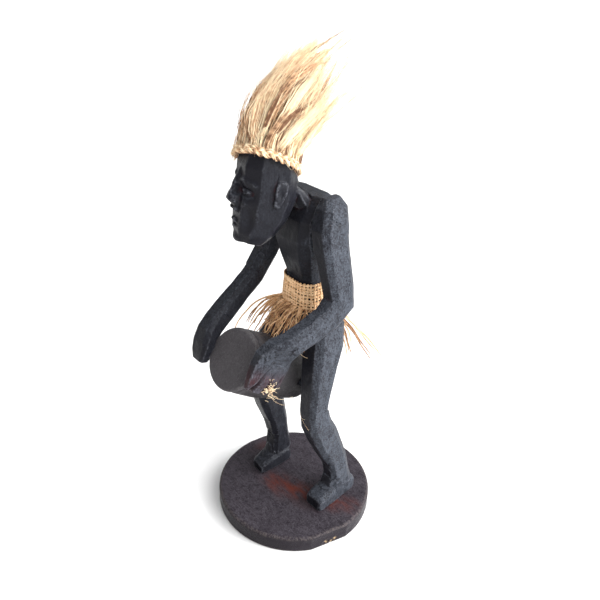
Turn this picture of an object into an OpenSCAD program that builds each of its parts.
// Carved wooden ancestor figure: a standing drummer on a round base, with raffia-like jute
// hair, a plaited head band and a woven jute hip cloth.
// Millimetres. The origin is the centre of the base's underside, +Z is up.
// The figure faces -Y, and its left side is +X.

/* [Base] */
// Diameter of the round base
base_d = 104; // [98:1:112]
// Thickness of the base
base_t = 11.5; // [10:0.5:14]
// Width of the bevel round the base's edges
base_bevel = 1.2; // [0.5:0.1:2]
// How far the flat shaved on the base's rim cuts in
base_flat = 1.6; // [1:0.1:3]

/* [Drum] */
// Diameter of the drum's head
drum_d = 37; // [34:0.5:38]
// How far the drum's waist swells beyond its head
drum_swell = 1; // [0.5:0.5:1.5]
// Diameter of the drum's foot
drum_foot_d = 31; // [28:0.5:32]
// Length of the drum
drum_len = 58; // [54:1:60]
// How far the drum's head looks up, in degrees
drum_tilt = 33; // [30:1:36]

/* [Head and hair] */
// How far the head is turned to the figure's right, in degrees
head_turn = 16; // [10:1:20]
// How far the chin is carried forwards of the brow, in degrees
head_nod = 8; // [4:1:10]
// How far the plaited head band stands out past the hair
band_t = 1.6; // [1:0.1:2.5]
// Height of the plaited head band
band_h = 4.4; // [3:0.2:6]

/* [Hip cloth] */
// Thickness of the woven cloth
cloth_t = 1.6; // [1:0.1:1.8]
// Length of the frayed fringe below the weave
fringe_l = 18; // [12:1:22]

/* [Fasteners] */
// Diameter of the wood screws that hold the feet
screw_d = 3.5; // [3:0.5:4]
// Length of the wood screws
screw_l = 25; // [20:1:28]
// Diameter of the shoulder dowels
dowel_d = 6; // [5:0.5:8]
// Length of the shoulder dowels
dowel_l = 20; // [16:1:22]
// Diameter of the pegs between the thighs and the drum
peg_d = 4; // [3:0.5:5]
// Diameter of the panel pins sunk in the hands
pin_d = 1.2; // [1:0.1:1.6]
// Length of the panel pins
pin_l = 10; // [8:0.5:12]
// Diameter of the tack's head
tack_d = 4.4; // [3:0.2:5]
// Clearance round each fastener and between neighbouring pieces
gap = 0.1; // [0.05:0.05:0.2]

/* [Hidden] */

stain = [0.12, 0.12, 0.14];
base_stain = [0.15, 0.11, 0.10];
steel = [0.62, 0.62, 0.64];
beech = [0.78, 0.62, 0.42];
straw = [0.85, 0.73, 0.55];
jute = [0.76, 0.58, 0.38];

plate = 0.3;       // thickness of a cross-section
sides = 20;        // points round a cross-section of the hair
joint_x = 16;      // the flat sides of the trunk that the arms are fixed to
shoulder_z = 210;  // height of the shoulder dowels
shoulder_y = 0;    // and how far back they are
drum_front = [0.7, -50.2, 133.2];
drum_turn = 4;
head_at = [0, -14, 224];
peg_at = -46;      // the pegs' place along the drum, from its head
ankles = [[26, 14.5], [-24.6, 4.5]];

// Each cross-section is [x, y, z, half width, half depth, lean, turn]: lean is how far the run
// leans forwards from straight up, and turn is its heading about Z, both in degrees.

left_leg = [
    [14, 2.5, 153, 8.5, 9.5, 0, 0],
    [18.8, 2, 148, 9.6, 11.6, 4, 0],
    [22.8, -0.8, 136, 9.2, 11.4, 8, 0],
    [25, -4.8, 123, 8.6, 9.8, 10, 0],
    [25.8, -7.2, 107, 7.8, 8.2, 2, 0],
    [26, -8.2, 94, 7.4, 7.6, -6, 0],
    [26.4, -6.2, 83, 7.3, 8.6, -16, 0],
    [26.4, -1, 72, 7.2, 9.2, -24, 0],
    [26.4, 5, 59, 6.9, 8.6, -24, 0],
    [26.4, 11, 46, 6.6, 7.6, -18, 0],
    [26.2, 14, 34, 6.6, 7.6, -6, 0],
    [26, 15.5, 23, 7, 10, 0, 0]
];
left_foot = [
    [23.6, 29.5, 15.5, 5.2, 4.6, 90, 5],
    [24.2, 26, 17, 6.4, 6.6, 90, 5],
    [25.6, 14, 18, 7, 7.5, 90, 4],
    [26.6, 3, 17, 7.2, 6.5, 90, 4],
    [27, -3.2, 15.8, 7, 5.3, 90, 4],
    [27, -5.6, 15, 6.2, 4.2, 90, 4]
];
right_leg = [
    [-10, 4.2, 153, 6, 8.2, 0, 0],
    [-12.4, 4.2, 148, 7, 8.4, 4, 0],
    [-16.8, 2, 136, 7.6, 8.2, 8, 0],
    [-21.5, -4, 122, 8.2, 8.6, 10, 0],
    [-24, -7.2, 107, 8, 8.8, 4, 0],
    [-24.8, -8.6, 94, 8.2, 10.6, -4, 0],
    [-24.6, -7.2, 82, 7.9, 10.2, -14, 0],
    [-24.6, -3.6, 68, 7.6, 8.8, -20, 0],
    [-24.6, 1.2, 52, 7.2, 7.2, -16, 0],
    [-24.6, 3.8, 38, 6.8, 6.4, -6, 0],
    [-24.6, 4.6, 24, 7, 8.4, 0, 0]
];
right_foot = [
    [-24.4, 12.5, 15.2, 4.8, 4.2, 90, -3],
    [-24.3, 10, 16.8, 6.2, 6.3, 90, -3],
    [-24, 2, 17.3, 6.9, 6.8, 90, -3],
    [-23.8, -6, 16.2, 6.8, 5.7, 90, -3],
    [-23.8, -12, 15, 6.2, 4.5, 90, -3],
    [-23.8, -14.4, 14, 5.4, 3.4, 90, -3]
];
trunk = [
    [0, 3, 141, 13.4, 7.6, 0, 0],
    [0, 3.4, 148, 14.6, 9.2, 0, 0],
    [0, 3.6, 154, 13, 9.2, 0, 0],
    [0, 3.5, 160, 12.8, 9.4, 0, 0],
    [0, 3.5, 168, 12, 8.8, 0, 0],
    [0, 3.2, 175, 12.2, 9, 0, 0],
    [0, 1, 186, 14.4, 10.6, 0, 0],
    [0, -1, 198, 16.8, 11.8, 0, 0],
    [0, -0.5, 210, 18, 11, 0, 0],
    [0, 1.4, 218.5, 17.8, 8.6, 0, 0],
    [0, 3, 223.4, 16.6, 5, 0, 0]
];
neck = [
    [0, 0.5, 212, 13, 9.5, 20, 0],
    [-1, -5, 222, 10.8, 10.5, 30, -6],
    [-2.5, -13.5, 231, 9.8, 11.5, 30, -14]
];
// The head's cross-sections are about its own origin, and its face looks along -Y
head = [
    [0, -16, -27, 6.5, 6, 10, 0],
    [0, -15, -21, 9.6, 10.6, 6, 0],
    [0, -12.5, -12, 11.8, 13.6, 2, 0],
    [0, -11, -1, 13.2, 15, 0, 0],
    [0, -11.6, 8, 13.4, 14.6, 0, 0],
    [0, -12, 15, 13.2, 14.6, 0, 0],
    [0, -12, 22, 12.2, 13.2, 0, 0],
    [0, -11.5, 28, 10.4, 11, 0, 0],
    [0, -10.5, 33, 6.5, 7.5, 0, 0]
];
nose = [
    [0, -24.5, 13, 2, 2.4, 0, 0],
    [0, -26.4, 4, 2.6, 3.8, 0, 0],
    [0, -27.4, -3.5, 4, 4.8, 0, 0],
    [0, -25.5, -6.5, 3.4, 3, 0, 0]
];
left_arm_run = [
    [17.5, 3, 224.4, 4.2, 5, 0, 0],
    [20, 2, 219.5, 6.6, 8, -2, 0],
    [22.6, -0.6, 210, 7.4, 9.8, -4, 0],
    [25.4, -1.4, 199, 7.2, 9.4, -4, 0],
    [28, -0.4, 188, 6.4, 8.9, -3, 0],
    [30, 0.8, 177, 6.2, 8.7, 0, 0],
    [31, 1.5, 167, 6.2, 9.6, 26, 0],
    [31.2, -7, 160, 6.1, 8, 58, 0],
    [31, -20, 155, 6, 7.2, 66, 0],
    [29.5, -31, 150.5, 6.2, 6.8, 62, 0]
];
left_hand = [
    [29.5, -31, 150.5, 6.2, 6.8, 62, 0],
    [26.5, -35, 147, 5.8, 9.4, 48, 0],
    [23.5, -38, 141, 4.8, 12.2, 36, 0],
    [22.4, -40.8, 134, 3.8, 12.8, 33, 0],
    [22, -44.2, 126.5, 3.3, 12, 33, 0],
    [20.4, -47, 120.5, 2.6, 9.6, 33, 0]
];
right_arm_run = [
    [-18, 3, 224.4, 4.4, 5, 0, 0],
    [-21.2, 2, 219.2, 7.2, 8.2, 0, 0],
    [-24, 0.8, 208, 7.6, 8.8, 6, 0],
    [-25, -1.8, 195, 6.4, 7.6, 18, 0],
    [-25.5, -7, 181, 5.8, 6.7, 32, 0],
    [-26, -17, 166, 5.6, 6.3, 42, 0],
    [-26, -26, 158.5, 5.6, 6.2, 48, 0],
    [-25.8, -34.8, 151.2, 6, 6.5, 48, 0],
    [-24.8, -43.8, 144.8, 6.4, 6.4, 44, 0],
    [-23.6, -49.5, 140.5, 6.8, 5.7, 38, 0]
];
right_hand = [
    [-23.6, -49.5, 140.5, 6.8, 5.7, 38, 0],
    [-22.4, -53.8, 134, 7.7, 4.7, 24, 0],
    [-22, -56.4, 128, 7, 3.8, 18, 0],
    [-22, -57.8, 124, 5.4, 2.9, 14, 0]
];
// The hair line slopes down from over the left eye to the right of the nape
hair = [
    [-3.9, -23, 242, 16.4, 17.6, 33, 26],
    [-3, -20.8, 255, 15.4, 18.6, 14, -16],
    [-1.5, -16, 269, 14.8, 19.2, 10, -10],
    [1, -8, 282, 11, 16, 6, 0],
    [3.5, -1, 292, 7, 11.5, 0, 0],
    [6, 8, 299, 3, 5, 0, 0]
];

function signed_pow(v, p) = sign(v) * pow(abs(v), p);

// A cross-section cut with a knife: a rectangle with a share of each corner cut off
function knife_cut(w, d, cut) = [
    [w, d * (cut - 1)], [w, d * (1 - cut)], [w * (1 - cut), d], [w * (cut - 1), d],
    [-w, d * (1 - cut)], [-w, d * (cut - 1)], [w * (cut - 1), -d], [w * (1 - cut), -d]
];

// A rounded cross-section, a little squarer than an ellipse
function rounded(w, d) = [
    for (i = [0 : sides - 1])
        let (a = 360 * i / sides)
        [w * signed_pow(cos(a), 0.87), d * signed_pow(sin(a), 0.87)]
];

// The same run of cross-sections, thicker by g all round
function grown(run, g) = [for (s = run) [s[0], s[1], s[2], s[3] + g, s[4] + g, s[5], s[6]]];

// Some of a run, from cross-section a to cross-section b
function part_of(run, a, b) = [for (i = [a : b]) run[i]];

module at_section(s) {
    translate([s[0], s[1], s[2]]) rotate([-s[5], 0, s[6]])
        linear_extrude(plate, center = true) children();
}

module section(s, cut) {
    at_section(s) polygon(knife_cut(s[3], s[4], cut));
}

// A carved limb: skin stretched from each cross-section to the next
module carved(run, cut = 0.41) {
    for (i = [0 : len(run) - 2])
        hull() {
            section(run[i], cut);
            section(run[i + 1], cut);
        }
}

module hair_shape(g = 0) {
    run = grown(hair, g);
    for (i = [0 : len(run) - 2])
        hull()
            for (s = [run[i], run[i + 1]])
                at_section(s) polygon(rounded(s[3], s[4]));
}

module at_head() {
    translate(head_at) rotate([-head_nod, 0, -head_turn]) children();
}

module at_drum() {
    translate(drum_front) rotate([90 - drum_tilt, 0, drum_turn]) children();
}

module head_shape(g = 0) {
    at_head() carved(grown(head, g), 0.47);
}

module ears() {
    for (side = [-1, 1])
        hull() {
            translate([side * 14, -8, 7]) rotate([0, 80, 0]) cylinder(r = 3.6, h = 2, center = true, $fn = 20);
            translate([side * 13.6, -9.5, -2]) rotate([0, 80, 0]) cylinder(r = 2, h = 2, center = true, $fn = 20);
        }
}

module drum_shape(g = 0) {
    r = drum_d / 2 + g;
    foot = drum_foot_d / 2 + g;
    waist = r + drum_swell;
    at_drum()
        rotate_extrude($fn = 48)
            polygon([
                [0, g], [r - 1, g], [r, -1], [waist, -drum_len * 0.4],
                [foot + 0.5, -drum_len + 1], [foot - 0.5, -drum_len - g], [0, -drum_len - g]
            ]);
}

module at_screws() {
    for (a = ankles) translate([a[0], a[1], 0]) children();
}

module screw_shape(g = 0) {
    translate([0, 0, 1]) cylinder(r1 = screw_d + g, r2 = screw_d / 2 + g, h = screw_d / 2 + g, $fn = 32);
    translate([0, 0, 1]) cylinder(r = screw_d / 2 + g, h = screw_l + g, $fn = 32);
}

module at_dowels() {
    for (side = [-1, 1])
        translate([side * joint_x, shoulder_y, shoulder_z]) rotate([0, 90, 0]) children();
}

module dowel_shape(g = 0) {
    cylinder(d = dowel_d + 2 * g, h = dowel_l + 2 * g, center = true, $fn = 32);
}

module at_pegs() {
    at_drum() translate([0, 0, peg_at]) rotate([0, 90, 0]) children();
}

module peg_shapes(g = 0) {
    for (side = [-1, 1])
        translate([0, 0, side * 16.5])
            cylinder(d = peg_d + 2 * g, h = 11 + 2 * g, center = true, $fn = 32);
}

module pin_shape(g = 0) {
    translate([0, 0, -g]) cylinder(d = pin_d + 2 * g, h = pin_l + 2 * g, $fn = 24);
}

// The pins are sunk in the hands and go on into the drum's side, along its radius
module at_pins() {
    at_drum() {
        rotate([0, 0, 10]) translate([24.5, 0, -9]) rotate([0, -90, 0]) children();
        rotate([0, 0, 190]) translate([24.5, 0, -2]) rotate([0, -90, 0]) children();
    }
}

module at_tack() {
    translate([0, 14.7, 163]) rotate([90, 0, 0]) children();
}

module tack_shape(g = 0) {
    cylinder(r = tack_d / 2 + g, h = 0.7, center = true, $fn = 32);
    cylinder(d = 1.2 + 2 * g, h = 6 + g, $fn = 24);
}

module base_slab() {
    r = base_d / 2;
    color(base_stain)
        difference() {
            rotate_extrude($fn = 96)
                polygon([
                    [0, 0], [r - base_bevel / 2, 0], [r, base_bevel / 2],
                    [r, base_t - base_bevel], [r - base_bevel, base_t], [0, base_t]
                ]);
            rotate([0, 0, -12]) translate([r - base_flat, -r, -1]) cube([base_d, base_d, base_t + 2]);
            at_screws() {
                translate([0, 0, -0.5])
                    cylinder(r = screw_d + gap, h = 1.5 + gap, $fn = 32);
                screw_shape(gap);
            }
        }
}

module base_screws() {
    color(steel)
        at_screws()
            difference() {
                screw_shape();
                for (turn = [0, 90])
                    rotate([0, 0, turn]) cube([3.6, 0.7, 4], center = true);
            }
}

module body_block() {
    color(stain)
        difference() {
            union() {
                carved(left_leg);
                carved(left_foot, 0.36);
                carved(right_leg);
                carved(right_foot, 0.36);
                carved(trunk);
                carved(neck, 0.5);
                head_shape();
                at_head() {
                    carved(nose, 0.55);
                    ears();
                }
            }
            translate([0, 0, -50 + base_t]) cube([120, 120, 100], center = true);
            for (side = [-1, 1])
                translate([side * (joint_x + 20), 0, 205]) cube([40, 60, 60], center = true);
            drum_shape(gap);
            at_screws() screw_shape(gap);
            at_dowels() dowel_shape(gap);
            at_pegs() peg_shapes(gap);
            at_tack() tack_shape(gap);
        }
}

module left_arm() {
    color(stain)
        difference() {
            union() {
                carved(left_arm_run);
                carved(left_hand, 0.36);
            }
            translate([joint_x + gap - 40, 0, 200]) cube([80, 80, 90], center = true);
            drum_shape(gap);
            at_dowels() dowel_shape(gap);
            at_pins() pin_shape(gap);
        }
}

module right_arm() {
    color(stain)
        difference() {
            union() {
                carved(right_arm_run);
                carved(right_hand, 0.36);
            }
            translate([40 - joint_x - gap, 0, 200]) cube([80, 80, 90], center = true);
            drum_shape(gap);
            at_dowels() dowel_shape(gap);
            at_pins() pin_shape(gap);
        }
}

module shoulder_dowels() {
    color(beech) at_dowels() dowel_shape();
}

module drum() {
    color(stain)
        difference() {
            drum_shape();
            at_pegs() peg_shapes(gap);
            at_pins() pin_shape(gap);
        }
}

module drum_pegs() {
    color(beech) at_pegs() peg_shapes();
}

module hand_pins() {
    color(steel) at_pins() pin_shape();
}

module hair_tuft() {
    color(straw)
        difference() {
            hair_shape();
            head_shape(gap);
        }
}

module hair_band() {
    color(straw)
        difference() {
            at_band()
                linear_extrude(band_h, center = true)
                    polygon(rounded(hair[0][3] + band_t, hair[0][4] + band_t));
            hair_shape(gap);
            head_shape(gap);
        }
}

module at_band() {
    line = hair[0];
    translate([line[0], line[1], line[2]]) rotate([-line[5], 0, line[6]]) children();
}

module hip_cloth() {
    hips = part_of(trunk, 2, 4);
    hem = grown(hips, cloth_t + 2 * gap)[0];
    color(jute)
        difference() {
            union() {
                carved(grown(hips, cloth_t + 2 * gap));
                hull() {
                    section(hem, 0.41);
                    section([0, 1, hem[2] - fringe_l, 25, 18, 0, 0], 0.41);
                }
            }
            carved(grown(trunk, gap));
            carved(grown(left_leg, gap));
            carved(grown(right_leg, gap));
            drum_shape(2 * gap);
            at_tack() tack_shape(gap);
        }
}

module cloth_tack() {
    color(steel) at_tack() tack_shape();
}

base_slab();
base_screws();
body_block();
left_arm();
right_arm();
shoulder_dowels();
drum();
drum_pegs();
hand_pins();
hair_tuft();
hair_band();
hip_cloth();
cloth_tack();
